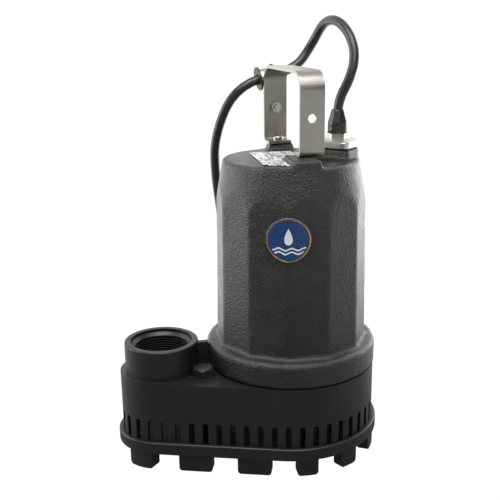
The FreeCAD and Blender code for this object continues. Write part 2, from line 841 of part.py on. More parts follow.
def gland_nut():
    x, y = motor_x + gland_x, gland_y
    nut = hexagon(gland_nut_af, nut_z, sleeve_z, x, y, 47)
    crown = turned([(0, nut_z, 0), (gland_nut_af * 0.6, nut_z, 0), (gland_nut_af * 0.6, sleeve_z, 1.4),
                    (0, sleeve_z, 0)], x, y)
    return nut.common(crown).cut(disc(sleeve_stem_r + fit_gap, nut_z - 1, sleeve_z + 1, x, y))


def cord_sleeve():
    """The rubber strain relief: a barrel in the gland, then a cone down to the cord."""
    x, y = motor_x + gland_x, gland_y
    body = turned([(0, gland_top_z, 0), (sleeve_stem_r, gland_top_z, 0), (sleeve_stem_r, sleeve_z, 0),
                   (sleeve_r, sleeve_z, 0.6), (sleeve_r, cone_z, 1.0), (sleeve_tip_r, sleeve_tip_z, 0),
                   (0, sleeve_tip_z, 0)], x, y)
    bore = disc(3 * lead_r + 0.4, gland_top_z - 1, sleeve_tip_z, x, y)
    socket = disc(cord_r, cord_start_z, sleeve_tip_z + 1, x, y)
    return body.cut(bore).cut(socket)


def lead_wires():
    low = stator_top_z + winding_h + 1
    spots = [around(lead_r * 1.6, a, motor_x + gland_x, gland_y) for a in (90, 210, 330)]
    return group([disc(lead_r, low, cord_start_z, x, y) for x, y in spots])


def oil_fill_plug():
    x, y = motor_x + fill_x, fill_y
    low = top_z - fill_recess_depth
    head = turned([(0, roof_z, 0), (fill_thread_r, roof_z, 0), (fill_thread_r, low, 0),
                   (fill_recess_r - fit_gap, low, 0), (fill_recess_r - fit_gap, low + 1.4, 0.5),
                   (0, low + 1.4, 0)], x, y)
    return head.cut(block(x - 5, x + 5, y - 0.7, y + 0.7, low + 0.6, low + 3))


def front_badge():
    """A plain round badge on the front corner between two facets."""
    z = deck_z + badge_h
    share = (z - deck_z - 6) / (body_h - 6)
    corner_r = body_foot_r + (body_top_r - body_foot_r) * share
    badge = Part.makeCylinder(badge_r, corner_r, V(0, 0, z), V(1, 0, 0))
    shell = Part.makeLoft([facets(body_foot_r + badge_t, deck_z + 6), facets(body_top_r + badge_t, top_z)],
                          True, True)
    core = Part.makeLoft([facets(body_foot_r, deck_z + 6), facets(body_top_r, top_z)], True, True)
    badge.rotate(V(0, 0, 0), UP, badge_angle)
    badge.translate(V(motor_x, 0, 0))
    return shell.cut(core).common(badge)


def seal_plate():
    hub_r = bearing_out_r + 6
    points = [(0, deck_z - spigot_h - deck_t, 0), (spigot_r, deck_z - spigot_h - deck_t, 0), (spigot_r, deck_z, 0),
              (seal_plate_r, deck_z, 0), (seal_plate_r, seal_plate_z, 0), (hub_r, seal_plate_z, 0),
              (hub_r, lower_bearing_top_z, 0), (0, lower_bearing_top_z, 0)]
    body = turned(points, motor_x)
    low = deck_z - spigot_h - deck_t - 1
    cuts = [disc(bearing_out_r, lower_bearing_z, lower_bearing_top_z + 1, motor_x)]
    cuts.append(disc(shaft_mid_r + 2, low, lower_bearing_z + 1, motor_x))
    cuts.append(disc(seal_r + seal_cup_t, low, deck_z + 2, motor_x))
    groove_z = deck_z + seal_plate_t / 2
    cuts.append(ring(seal_plate_r - 2 * o_ring_r + 0.2, seal_plate_r + 1, groove_z - o_ring_r - 0.2,
                     groove_z + o_ring_r + 0.2, motor_x))
    return body.cut(group(cuts))


def housing_o_ring():
    middle_r = seal_plate_r + fit_gap - o_ring_r
    return Part.makeTorus(middle_r, o_ring_r, V(motor_x, 0, deck_z + seal_plate_t / 2), UP)


seat_top_z = deck_z + 2
seat_z = seat_top_z - 4.0
face_top_z = seat_z - seal_gap
face_z = face_top_z - 3.2


def seal_seat():
    return ring(shaft_r + 1, seal_r, seat_z, seat_top_z, motor_x)


def seal_seat_cup():
    return ring(seal_r, seal_r + seal_cup_t, seat_z, seat_top_z, motor_x)


def seal_face():
    return ring(shaft_r, seal_r - 1.5, face_z, face_top_z, motor_x)


def seal_bellows():
    """A folded rubber sleeve between the impeller's hub and the carbon face."""
    low, high = hub_top_z, face_z
    folds = 4
    step = (high - low) / (2 * folds)
    points = [(shaft_r, low)]
    outer = [(seal_r - 3.6 if i % 2 else seal_r - 2.2, low + i * step) for i in range(2 * folds + 1)]
    points += outer + [(shaft_r, high)]
    return turned([(r, z, 0) for r, z in points], motor_x)


def bearing_rings(low):
    """Inner ring, outer ring, balls and cage of a deep-groove bearing that stands at a height."""
    middle = low + bearing_w / 2
    pitch_r = (shaft_r + bearing_out_r) / 2
    groove = Part.makeTorus(pitch_r, ball_r + race_gap, V(motor_x, 0, middle), UP)
    inner = ring(shaft_r, shaft_r + race_t, low, low + bearing_w, motor_x).cut(groove)
    outer = ring(bearing_out_r - race_t, bearing_out_r, low, low + bearing_w, motor_x).cut(groove)
    spots = [around(pitch_r, i * 360 / ball_count, motor_x) for i in range(ball_count)]
    balls = [Part.makeSphere(ball_r, V(x, y, middle)) for x, y in spots]
    hub = V(motor_x, 0, middle)
    pockets = [Part.makeCylinder(ball_r + race_gap, bearing_out_r, hub, V(x, y, middle) - hub) for x, y in spots]
    cage = ring(pitch_r - cage_t / 2, pitch_r + cage_t / 2, middle - cage_w / 2, middle + cage_w / 2, motor_x)
    return inner, outer, group(balls), cage.cut(group(pockets))


def preload_washer():
    z = upper_bearing_top_z
    return ring(bearing_out_r - race_t, bearing_out_r - fit_gap, z, z + preload_t, motor_x)


def shaft():
    tip = impeller_z - 5
    points = [(0, tip, 0), (4.0, tip, 0.8), (4.0, impeller_z + 3, 0), (5.5, impeller_z + 3, 0),
              (5.5, hub_top_z, 0), (shaft_r, hub_top_z, 0), (shaft_r, lower_bearing_top_z, 0),
              (shaft_mid_r, lower_bearing_top_z, 0), (shaft_mid_r, upper_bearing_z, 0),
              (shaft_r, upper_bearing_z, 0), (shaft_r, upper_bearing_top_z + 1, 1.0),
              (0, upper_bearing_top_z + 1, 0)]
    return turned(points, motor_x)


def vane(turn):
    """One backward-curved vane, an arc from the hub to the rim."""
    start = V(*around(impeller_hub_r - 1, turn, motor_x), impeller_z)
    middle = V(*around(impeller_r * 0.6, turn - 24, motor_x), impeller_z)
    end = V(*around(impeller_r - 0.6, turn - 62, motor_x), impeller_z)
    curve = Part.Arc(start, middle, end).toShape().Curve
    centre, r = curve.Center, curve.Radius
    band = ring(r - vane_t / 2, r + vane_t / 2, impeller_z, shroud_z + 1, centre.x, centre.y)
    a0 = math.degrees(math.atan2(start.y - centre.y, start.x - centre.x))
    a1 = math.degrees(math.atan2(end.y - centre.y, end.x - centre.x))
    sweep = (a0 - a1) % 360
    if sweep > 180:
        a0, sweep = a1, 360 - sweep
        sector = Part.makeCylinder(r + vane_t, vane_h + 1, V(centre.x, centre.y, impeller_z), UP, sweep)
        sector.rotate(centre, UP, a0 - sweep)
    else:
        sector = Part.makeCylinder(r + vane_t, vane_h + 1, V(centre.x, centre.y, impeller_z), UP, sweep)
        sector.rotate(centre, UP, a1)
    return band.common(sector)


def impeller():
    shroud = disc(impeller_r, shroud_z, hub_top_z, motor_x)
    hub = disc(impeller_hub_r, impeller_z + 1, hub_top_z, motor_x)
    vanes = [vane(i * 360 / vane_count) for i in range(vane_count)]
    body = fused([shroud, hub] + vanes).common(disc(impeller_r, impeller_z, hub_top_z, motor_x))
    return body.cut(disc(5.5, impeller_z - 1, hub_top_z + 1, motor_x))


def impeller_nut():
    low = impeller_z - 4
    return hexagon(13.0, low, impeller_z + 1, motor_x, 0).cut(disc(4.0, low - 1, impeller_z + 2, motor_x))


def stator_slots(inner_r, outer_r, width, z0, z1):
    bars = []
    for i in range(stator_slot_count):
        bar = block(inner_r, outer_r, -width / 2, width / 2, z0, z1)
        bar.rotate(V(0, 0, 0), UP, (i + 0.5) * 360 / stator_slot_count)
        bar.translate(V(motor_x, 0, 0))
        bars.append(bar)
    return bars


def stator_core():
    bore_r = rotor_r + air_gap
    core = ring(bore_r, housing_bore_r - 0.02, stator_z, stator_top_z, motor_x)
    return core.cut(group(stator_slots(bore_r + 1.5, 43.0, 4.0, stator_z - 1, stator_top_z + 1)))


def stator_winding():
    """Copper in the stator's slots, joined by the end turns above and below."""
    inner_r = rotor_r + air_gap + 2.5
    bars = stator_slots(inner_r, 42.5, 3.4, stator_z - 2, stator_top_z + 2)
    points = [(inner_r, 0, 3.0), (46.0, 0, 3.0), (43.5, 1, 3.0), (inner_r + 1.5, 1, 3.0)]
    upper = [(r, stator_top_z + 1 + s * winding_h, c) for r, s, c in points]
    lower = [(r, stator_z - 1 - s * winding_h, c) for r, s, c in points]
    return fused([turned(upper, motor_x), turned(lower, motor_x)] + bars)


def rotor_core():
    return ring(shaft_mid_r, rotor_r, stator_z + 1, stator_top_z - 1, motor_x)


def rotor_end_rings():
    rings = []
    for z0, z1 in ((stator_z - 8, stator_z + 1), (stator_top_z - 1, stator_top_z + 8)):
        rings.append(ring(rotor_r - 10, rotor_r - 1.5, z0, z1, motor_x))
    return group(rings)


def run_capacitor():
    x, y = around(capacitor_out, 200, motor_x)
    low = roof_z - capacitor_h
    can = turned([(0, low, 0), (capacitor_r, low, 2.0), (capacitor_r, roof_z, 1.0), (0, roof_z, 0)], x, y)
    lugs = [block(x - 5 + i * 8, x - 3 + i * 8, y - 3, y + 3, low - 4, low + 1) for i in range(2)]
    return fused([can] + lugs)


def capacitor_clip():
    x, y = around(capacitor_out, 200, motor_x)
    z = roof_z - capacitor_h / 2
    band = ring(capacitor_r, capacitor_r + 0.8, z - 5, z + 5, x, y)
    ear = block(x + capacitor_r - 0.4 - 1, x + capacitor_r + 0.8, y - 5, y + 5, z - 5, roof_z)
    return fused([band, ear.cut(disc(capacitor_r, z - 6, roof_z + 1, x, y))])


def thermal_protector():
    x, y = around(38.0, 100, motor_x)
    low = stator_top_z + winding_h + 1
    points = [(x - 9, y - 4), (x + 9, y - 4), (x + 9, y + 4), (x - 9, y + 4)]
    return prism(points, [2.0] * 4, low, low + 6)


def route_tube(points, r, print_radii):
    """A round tube along straight runs joined by tangent arcs as large as the runs allow."""
    corners = [V(*p) for p in points]
    edges = []
    radii = []
    start = corners[0]
    for i in range(1, len(corners) - 1):
        back = corners[i - 1] - corners[i]
        ahead = corners[i + 1] - corners[i]
        reach = 0.45 * min(back.Length, ahead.Length)
        half = back.getAngle(ahead) / 2
        radius = reach * math.tan(half)
        radii.append(radius)
        back.normalize()
        ahead.normalize()
        first = corners[i] + back * reach
        last = corners[i] + ahead * reach
        middle = corners[i] + (back + ahead).normalize() * (radius / math.sin(half) - radius)
        edges.append(Part.LineSegment(start, first).toShape())
        edges.append(Part.Arc(first, middle, last).toShape())
        start = last
    edges.append(Part.LineSegment(start, corners[-1]).toShape())
    path = Part.Wire(edges)
    along = corners[1] - corners[0]
    ends = Part.Wire(Part.makeCircle(r, corners[0], along))
    tube = path.makePipeShell([ends], True, True)
    if print_radii:
        share = tube.Volume / (math.pi * r * r * path.Length)
        runs = [round((corners[i + 1] - corners[i]).Length, 1) for i in range(len(corners) - 1)]
        print("cord radii", [round(x, 1) for x in radii], "runs", runs)
        print("cord length", round(path.Length, 1), "volume against section times length", round(share, 4))
    return tube


def coil_size():
    width = coil_columns * 2 * cord_r
    return coil_mean_r - width / 2, coil_mean_r + width / 2, coil_z + coil_layers * 2 * cord_r


def power_cord_coil():
    inner_r, outer_r, high = coil_size()
    points = [(inner_r, coil_z, 3.0), (outer_r, coil_z, 3.0), (outer_r, high, 3.0), (inner_r, high, 3.0)]
    return turned(points, coil_x, coil_y)


def cord_ties():
    """Two flat ties round the coil's turns, at its left and right."""
    inner_r, outer_r, high = coil_size()
    ties = []
    for angle in (60, 240):
        outer = block(inner_r - tie_t, outer_r + tie_t, -tie_w / 2, tie_w / 2, coil_z - tie_t, high + tie_t)
        outer.rotate(V(0, 0, 0), UP, angle)
        outer.translate(V(coil_x, coil_y, 0))
        core = turned([(inner_r - 0.05, coil_z - 0.05, 2.9), (outer_r + 0.05, coil_z - 0.05, 2.9),
                       (outer_r + 0.05, high + 0.05, 2.9), (inner_r - 0.05, high + 0.05, 2.9)], coil_x, coil_y)
        ties.append(outer.cut(core))
    return group(ties)


def on_plug(shape):
    """Moves a shape from the plug's own frame, X along the blades, to the cord's far end."""
    last, before = V(*tail_route[-1]), V(*tail_route[-2])
    along = last - before
    moved = shape.copy()
    moved.rotate(V(0, 0, 0), UP, math.degrees(math.atan2(along.y, along.x)))
    moved.translate(V(last.x, last.y, plug_t / 2))
    return moved


def plug_body():
    half_w, half_t = plug_w / 2, plug_t / 2
    points = [V(0, -half_w, -half_t), V(0, half_w, -half_t), V(0, half_w, half_t), V(0, -half_w, half_t)]
    grip = Part.Face(corner_wire(points, [5.0] * 4)).extrude(V(plug_len, 0, 0))
    grip.translate(V(plug_neck_len, 0, 0))
    neck = Part.makeCone(cord_r + 1.2, plug_neck_r + 2, plug_neck_len + 1, V(0, 0, 0), V(1, 0, 0))
    return on_plug(fused([grip, neck]))


def plug_blades():
    start = plug_neck_len + plug_len
    return group([on_plug(block(start, start + blade_len, y - blade_t / 2, y + blade_t / 2,
                                1.0, 1.0 + blade_w)) for y in (-blade_spacing / 2, blade_spacing / 2)])


def plug_ground_pin():
    start = plug_neck_len + plug_len
    pin = Part.makeCylinder(ground_pin_r, ground_pin_len, V(start, 0, -5.5), V(1, 0, 0))
    return on_plug(pin)


def save(node, shape):
    if not shape.isValid():
        print("not valid:", node)
    shape.exportStep("parts/" + node + ".step")
    box = shape.optimalBoundingBox(True, False)
    print("%-28s %2d solids %9.0f mm3  x %.1f..%.1f y %.1f..%.1f z %.1f..%.1f" % (
        node, len(shape.Solids), shape.Volume, box.XMin, box.XMax, box.YMin, box.YMax, box.ZMin, box.ZMax))


def main():
    os.makedirs("parts", exist_ok=True)
    save("strainer_base", strainer_base())
    save("strainer_screws", strainer_screws())
    save("volute_casing", volute_casing())
    save("volute_cover", volute_cover())
    save("volute_cover_screws", cover_screws())
    save("casing_bolts", deck_bolts())
    save("casing_nuts", deck_nuts())
    save("motor_housing", motor_housing())
    save("motor_flange_bolts", flange_bolts())
    save("seal_plate", seal_plate())
    save("housing_o_ring", housing_o_ring())
    save("seal_seat", seal_seat())
    save("seal_seat_cup", seal_seat_cup())
    save("seal_rotating_face", seal_face())
    save("seal_bellows", seal_bellows())
    for name, low in (("lower", lower_bearing_z), ("upper", upper_bearing_z)):
        inner, outer, balls, cage = bearing_rings(low)
        save(name + "_bearing_inner_ring", inner)
        save(name + "_bearing_outer_ring", outer)
        save(name + "_bearing_balls", balls)
        save(name + "_bearing_cage", cage)
    save("bearing_preload_washer", preload_washer())
    save("shaft", shaft())
    save("impeller", impeller())
    save("impeller_nut", impeller_nut())
    save("rotor_core", rotor_core())
    save("rotor_end_rings", rotor_end_rings())
    save("stator_core", stator_core())
    save("stator_winding", stator_winding())
    save("run_capacitor", run_capacitor())
    save("capacitor_clip", capacitor_clip())
    save("thermal_protector", thermal_protector())
    save("lead_wires", lead_wires())
    save("oil_fill_plug", oil_fill_plug())
    save("label_plate", label_plate())
    save("front_badge", front_badge())
    save("gland_gasket", gland_gasket())
    save("gland_plate", gland_plate())
    save("gland_nut", gland_nut())
    save("cord_sleeve", cord_sleeve())
    save("handle_strap", handle_strap())
    save("handle_washers", handle_washers())
    save("handle_screws", handle_screws())
    save("cord_clamp_band", clamp_band())
    save("cord_clamp_cushion", clamp_cushion())
    save("cord_clamp_screw", clamp_screw())
    save("cord_clamp_nut", clamp_nut())
    save("power_cord_run", route_tube(cord_route, cord_r, True))
    save("power_cord_coil", power_cord_coil())
    save("power_cord_tail", route_tube(tail_route, cord_r, True))
    save("cord_ties", cord_ties())
    save("plug_body", plug_body())
    save("plug_blades", plug_blades())
    save("plug_ground_pin", plug_ground_pin())


main()
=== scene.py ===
import json
import math

import bmesh
import bpy
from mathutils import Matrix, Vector, noise


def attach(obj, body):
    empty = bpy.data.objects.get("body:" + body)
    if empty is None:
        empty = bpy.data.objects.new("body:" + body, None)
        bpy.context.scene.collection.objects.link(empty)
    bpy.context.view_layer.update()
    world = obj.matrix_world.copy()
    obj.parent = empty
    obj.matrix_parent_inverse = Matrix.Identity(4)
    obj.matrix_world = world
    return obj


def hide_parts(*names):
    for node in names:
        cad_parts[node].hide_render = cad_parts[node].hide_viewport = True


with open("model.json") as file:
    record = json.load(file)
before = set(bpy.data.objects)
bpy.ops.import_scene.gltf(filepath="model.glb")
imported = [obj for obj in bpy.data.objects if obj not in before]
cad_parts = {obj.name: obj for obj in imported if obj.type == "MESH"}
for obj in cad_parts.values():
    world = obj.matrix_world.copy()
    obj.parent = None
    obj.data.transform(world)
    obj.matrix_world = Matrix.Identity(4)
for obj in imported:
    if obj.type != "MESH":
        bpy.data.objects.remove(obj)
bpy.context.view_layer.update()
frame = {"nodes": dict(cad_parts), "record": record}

nodes = frame["nodes"]
collection = bpy.context.scene.collection
print("frame: nodes", len(nodes))


# view and studio

camera = {
    "place": (-0.1203, -0.6638, 0.3648),
    "yaw": 0.227,      # radians, from +Y towards +X
    "pitch": 0.299,    # radians, downwards
    "lens": 59.75,
    "sensor": 36.0,
    "shift": (-0.0702, 0.0444),
}


def makeCamera():
    data = bpy.data.cameras.new("viewCamera")
    data.lens = camera["lens"]
    data.sensor_width = camera["sensor"]
    data.shift_x, data.shift_y = camera["shift"]
    data.clip_end = 50.0
    eye = bpy.data.objects.new("viewCamera", data)
    eye.location = camera["place"]
    eye.rotation_euler = (math.pi / 2 - camera["pitch"], 0.0, -camera["yaw"])
    collection.objects.link(eye)
    bpy.context.scene.camera = eye


makeCamera()
bpy.context.scene.view_settings.view_transform = "Standard"
print("camera: made")


class Signal:
    # one output socket; arithmetic on it adds Math nodes

    def __init__(self, recipe, socket):
        self.recipe = recipe
        self.socket = socket

    def maths(self, operation, first, second=0.0):
        return self.recipe.node("ShaderNodeMath", {"operation": operation}, {0: first, 1: second})

    def apply(self, operation, second=0.0):
        return self.maths(operation, self, second)

    def __add__(self, other):
        return self.maths("ADD", self, other)

    __radd__ = __add__

    def __sub__(self, other):
        return self.maths("SUBTRACT", self, other)

    def __rsub__(self, other):
        return self.maths("SUBTRACT", other, self)

    def __mul__(self, other):
        return self.maths("MULTIPLY", self, other)

    __rmul__ = __mul__

    def __truediv__(self, other):
        return self.maths("DIVIDE", self, other)

    def __rtruediv__(self, other):
        return self.maths("DIVIDE", other, self)

    def __pow__(self, power):
        return self.maths("POWER", self, power)

    def __abs__(self):
        return self.maths("ABSOLUTE", self)

    def __lt__(self, other):
        return self.maths("LESS_THAN", self, other)

    def __gt__(self, other):
        return self.maths("GREATER_THAN", self, other)


class Recipe:
    # a node tree and the ways to fill it

    def __init__(self, name, fixed=None):
        self.material = bpy.data.materials.new(name)
        self.material.use_nodes = True
        self.tree = self.material.node_tree
        self.shader = self.tree.nodes["Principled BSDF"]
        for socket, value in (fixed or {}).items():
            self.shader.inputs[socket].default_value = value

    def node(self, kind, settings, inputs, output=0):
        made = self.tree.nodes.new(kind)
        for name, value in settings.items():
            setattr(made, name, value)
        for name, value in inputs.items():
            self.plug(made.inputs[name], value)
        return Signal(self, made.outputs[output])

    def plug(self, socket, value):
        if isinstance(value, Signal):
            self.tree.links.new(value.socket, socket)
        else:
            socket.default_value = value

    def drive(self, socket, value):
        self.plug(self.shader.inputs[socket], value)

    def place(self, centre=(0, 0, 0), turn=(0, 0, 0), scale=(1, 1, 1)):
        coords = self.node("ShaderNodeTexCoord", {}, {}, "Object")
        shifted = self.node("ShaderNodeVectorMath", {"operation": "SUBTRACT"}, {0: coords, 1: centre})
        return self.node("ShaderNodeMapping", {"vector_type": "POINT"},
                         {"Vector": shifted, "Rotation": turn, "Scale": scale})

    def axis(self, vector, name):
        return self.node("ShaderNodeSeparateXYZ", {}, {0: vector}, name)

    def grain(self, vector, size, detail=3.0, rough=0.55):
        # noise whose features are about size metres across, 0 to 1
        return self.node("ShaderNodeTexNoise", {}, {
            "Vector": vector, "Scale": 1.0 / size, "Detail": detail, "Roughness": rough})

    def cells(self, vector, size):
        return self.node("ShaderNodeTexVoronoi", {"feature": "SMOOTH_F1"}, {
            "Vector": vector, "Scale": 1.0 / size, "Smoothness": 0.6})

    def span(self, value, low, high, fromLow=0.3, fromHigh=0.7):
        return self.node("ShaderNodeMapRange", {}, {
            "Value": value, "From Min": fromLow, "From Max": fromHigh, "To Min": low, "To Max": high})

    def blend(self, factor, first, second):
        return self.node("ShaderNodeMix", {"data_type": "RGBA"}, {0: factor, 6: first, 7: second}, 2)

    def bump(self, height, depth, strength=1.0):
        normal = self.node("ShaderNodeBump", {}, {
            "Height": height, "Distance": depth, "Strength": strength})
        self.drive("Normal", normal)


studio = {
    "backSky": 1.30,       # brightness behind the pump
    "frontSky": 0.13,      # brightness on the badge's side
    "overSky": 0.55,
    "floorSize": 12.0,
    "white": 1.05,         # the background that the camera sees
    "floorGlow": 0.13,     # what the pump sees of the floor in front
    "backGlow": 1.75,
    "backReach": (0.02, 0.60),     # metres along Y over which it rises
    "rightGlow": 0.75,
    "rightReach": (0.13, 0.60),    # metres along X
    "lights": [
        # name, watts, width, height, place, aim
        ("leftBox", 9.0, 0.7, 0.9, (-1.15, 0.36, 0.42), (0.02, 0.0, 0.17)),
        ("rightBox", 6.0, 0.5, 0.9, (1.05, 0.75, 0.40), (0.04, 0.0, 0.17)),
        ("topBox", 13.0, 0.9, 0.55, (-0.10, -0.36, 1.15), (0.02, 0.0, 0.15)),
        ("slopeBox", 5.5, 0.9, 0.30, (0.05, -1.05, 1.15), (0.02, 0.0, 0.12)),
    ],
}


def makeWorld():
    world = bpy.data.worlds.new("studioWorld")
    world.use_nodes = True
    tree = world.node_tree
    tree.nodes.clear()

    def link(source, target):
        tree.links.new(source, target)

    coords = tree.nodes.new("ShaderNodeTexCoord")
    split = tree.nodes.new("ShaderNodeSeparateXYZ")
    link(coords.outputs["Generated"], split.inputs[0])
    back = tree.nodes.new("ShaderNodeMapRange")
    back.interpolation_type = "SMOOTHSTEP"
    back.inputs["From Min"].default_value = -0.35
    back.inputs["From Max"].default_value = 0.45
    back.inputs["To Min"].default_value = studio["frontSky"]
    back.inputs["To Max"].default_value = studio["backSky"]
    link(split.outputs["Y"], back.inputs["Value"])
    over = tree.nodes.new("ShaderNodeMapRange")
    over.interpolation_type = "SMOOTHSTEP"
    over.inputs["From Min"].default_value = 0.45
    over.inputs["From Max"].default_value = 0.95
    link(split.outputs["Z"], over.inputs["Value"])
    mixed = tree.nodes.new("ShaderNodeMix")
    link(over.outputs[0], mixed.inputs[0])
    link(back.outputs[0], mixed.inputs[2])
    mixed.inputs[3].default_value = studio["overSky"]
    lit = tree.nodes.new("ShaderNodeBackground")
    link(mixed.outputs[0], lit.inputs["Strength"])
    seen = tree.nodes.new("ShaderNodeBackground")
    seen.inputs["Strength"].default_value = studio["white"]
    path = tree.nodes.new("ShaderNodeLightPath")
    choose = tree.nodes.new("ShaderNodeMixShader")
    link(path.outputs["Is Camera Ray"], choose.inputs[0])
    link(lit.outputs[0], choose.inputs[1])
    link(seen.outputs[0], choose.inputs[2])
    output = tree.nodes.new("ShaderNodeOutputWorld")
    link(choose.outputs[0], output.inputs["Surface"])
    for glow in (lit, seen):
        glow.inputs["Color"].default_value = (1, 1, 1, 1)
    bpy.context.scene.world = world


def makeLights():
    for name, watts, width, height, place, aim in studio["lights"]:
        data = bpy.data.lights.new(name, "AREA")
        data.shape = "RECTANGLE"
        data.size, data.size_y = width, height
        data.energy = watts
        lamp = bpy.data.objects.new(name, data)
        lamp.location = place
        lamp.rotation_euler = (Vector(aim) - Vector(place)).to_track_quat("-Z", "Y").to_euler()
        lamp.visible_camera = False
        collection.objects.link(lamp)


def makeFloor():
    shape = bmesh.new()
    bmesh.ops.create_grid(shape, x_segments=1, y_segments=1, size=studio["floorSize"])
    mesh = bpy.data.meshes.new("studioFloor")
    shape.to_mesh(mesh)
    shape.free()
    floor = bpy.data.objects.new("studioFloor", mesh)
    collection.objects.link(floor)
    brightest = studio["backGlow"] + studio["rightGlow"] + studio["floorGlow"]
    paint = Recipe("paleFloor", {"Base Color": (0.10, 0.10, 0.10, 1), "Roughness": 0.9,
                                 "Specular IOR Level": 0.1, "Emission Strength": brightest})
    at = paint.place()
    behind = paint.span(paint.axis(at, "Y"), 0.0, studio["backGlow"], *studio["backReach"])
    beside = paint.span(paint.axis(at, "X"), 0.0, studio["rightGlow"], *studio["rightReach"])
    share = (behind + beside + studio["floorGlow"]) / brightest
    paint.drive("Emission Color", paint.blend(share, (0, 0, 0, 1), (1, 1, 1, 1)))
    seen = paint.node("ShaderNodeEmission", {}, {"Color": (1, 1, 1, 1), "Strength": studio["white"]})
    direct = paint.node("ShaderNodeLightPath", {}, {}, "Is Camera Ray")
    shaded = Signal(paint, paint.shader.outputs[0])
    choice = paint.node("ShaderNodeMixShader", {}, {0: direct, 1: shaded, 2: seen})
    paint.plug(paint.tree.nodes["Material Output"].inputs["Surface"], choice)
    mesh.materials.append(paint.material)


makeWorld()
makeLights()
makeFloor()
print("studio: lights", len(studio["lights"]))


# finishes

def castPaint():
    # thick charcoal paint over a sand-cast skin: long soft lumps, fine orange peel
    paint = Recipe("castPaint", {"IOR": 1.5})
    at = paint.place()
    lumps = paint.grain(at, 0.0062, 3.0, 0.6)
    peel = paint.cells(at, 0.0017)
    fine = paint.grain(at, 0.0009, 2.0, 0.6)
    cloud = paint.grain(at, 0.034, 4.0, 0.6)
    shade = paint.span(cloud * 0.5 + fine * 0.5, 0.0, 1.0, 0.36, 0.66)
    paint.drive("Base Color", paint.blend(shade, (0.008, 0.008, 0.0077, 1), (0.023, 0.0226, 0.0215, 1)))
    paint.drive("Roughness", paint.span(cloud, 0.27, 0.37))
    paint.bump(lumps * 0.26 + peel * 0.24 + fine * 0.50, 0.0013)
    return paint


def blackPlastic(name, colour, rough):
    # moulded plastic with a fine spark-eroded grain
    paint = Recipe(name, {"IOR": 1.46})
    at = paint.place()
    fine = paint.grain(at, 0.00055, 2.0, 0.5)
    flow = paint.grain(at, 0.045, 3.0, 0.6)
    dark = tuple(part * 0.75 for part in colour)
    paint.drive("Base Color", paint.blend(paint.span(flow, 0.0, 1.0), (*dark, 1), (*colour, 1)))
    paint.drive("Roughness", paint.span(flow, rough - 0.05, rough + 0.05))
    paint.bump(fine, 0.00005)
    return paint


def brushedSteel(name, colour, rough, across, turn=0.0):
    # across is the direction over the brush lines, in turns about Z
    paint = Recipe(name, {"Metallic": 1.0})
    at = paint.place(turn=(0, 0, turn), scale=across)
    lines = paint.grain(at, 1.0, 3.0, 0.7)
    smear = paint.grain(paint.place(), 0.014, 4.0, 0.6)
    worn = tuple(part * 0.80 for part in colour)
    paint.drive("Base Color", paint.blend(paint.span(smear * 0.6 + lines * 0.4, 0.0, 1.0),
                                          (*worn, 1), (*colour, 1)))
    paint.drive("Roughness", paint.span(lines * 0.5 + smear * 0.5, rough - 0.07, rough + 0.07))
    paint.bump(lines, 0.00003)
    return paint


def polishedSteel(name, colour, rough):
    paint = Recipe(name, {"Metallic": 1.0})
    smear = paint.grain(paint.place(), 0.006, 4.0, 0.6)
    fine = paint.grain(paint.place(), 0.0011, 2.0, 0.5)
    worn = tuple(part * 0.85 for part in colour)
    paint.drive("Base Color", paint.blend(paint.span(smear, 0.0, 1.0), (*worn, 1), (*colour, 1)))
    paint.drive("Roughness", paint.span(smear * 0.7 + fine * 0.3, rough - 0.05, rough + 0.08))
    paint.bump(smear * 0.7 + fine * 0.3, 0.00002)
    return paint


def rubber(name, colour, rough, size=0.0011, depth=0.00005):
    paint = Recipe(name, {"IOR": 1.5})
    fine = paint.grain(paint.place(), size, 3.0, 0.6)
    bloom = paint.grain(paint.place(), 0.02, 3.0, 0.6)
    pale = tuple(part * 1.6 for part in colour)
    paint.drive("Base Color", paint.blend(paint.span(bloom, 0.0, 1.0), (*colour, 1), (*pale, 1)))
    paint.drive("Roughness", paint.span(bloom * 0.6 + fine * 0.4, rough - 0.05, rough + 0.07))
    paint.bump(fine, depth)
    return paint


def innerFinish(name, colour, metallic, rough, size=0.0025):
    # the hidden pieces' machined, cast or wound surfaces
    paint = Recipe(name, {"Metallic": metallic})
    fine = paint.grain(paint.place(), size, 3.0, 0.6)
    dark = tuple(part * 0.8 for part in colour)
    paint.drive("Base Color", paint.blend(paint.span(fine, 0.0, 1.0), (*dark, 1), (*colour, 1)))
    paint.drive("Roughness", paint.span(fine, rough - 0.05, rough + 0.08))
    paint.bump(fine, 0.00005)
    return paint


def windingFinish():
    # varnished copper wires, laid side by side
    paint = Recipe("windingCopper", {"Metallic": 1.0})
    at = paint.place(scale=(1, 1, 1 / 6))
    wires = paint.grain(at, 0.0009, 2.0, 0.5)
    paint.drive("Base Color", paint.blend(paint.span(wires, 0.0, 1.0),
                                          (0.30, 0.10, 0.03, 1), (0.62, 0.28, 0.12, 1)))
    paint.drive("Roughness", paint.span(wires, 0.28, 0.45))
    paint.bump(wires, 0.0002)
    return paint


def laminatedSteel():
    # thin stacked sheets, seen as fine level lines
    paint = Recipe("laminatedSteel", {"Metallic": 1.0})
    height = paint.axis(paint.place(), "Z")
    sheets = (height / 0.0005).apply("PINGPONG", 1.0)
    stain = paint.grain(paint.place(), 0.008, 3.0, 0.6)
    paint.drive("Base Color", paint.blend(sheets * 0.5 + stain * 0.5,
                                          (0.10, 0.10, 0.11, 1), (0.28, 0.28, 0.30, 1)))
    paint.drive("Roughness", paint.span(stain, 0.40, 0.55))
    paint.bump(sheets, 0.00005)
    return paint


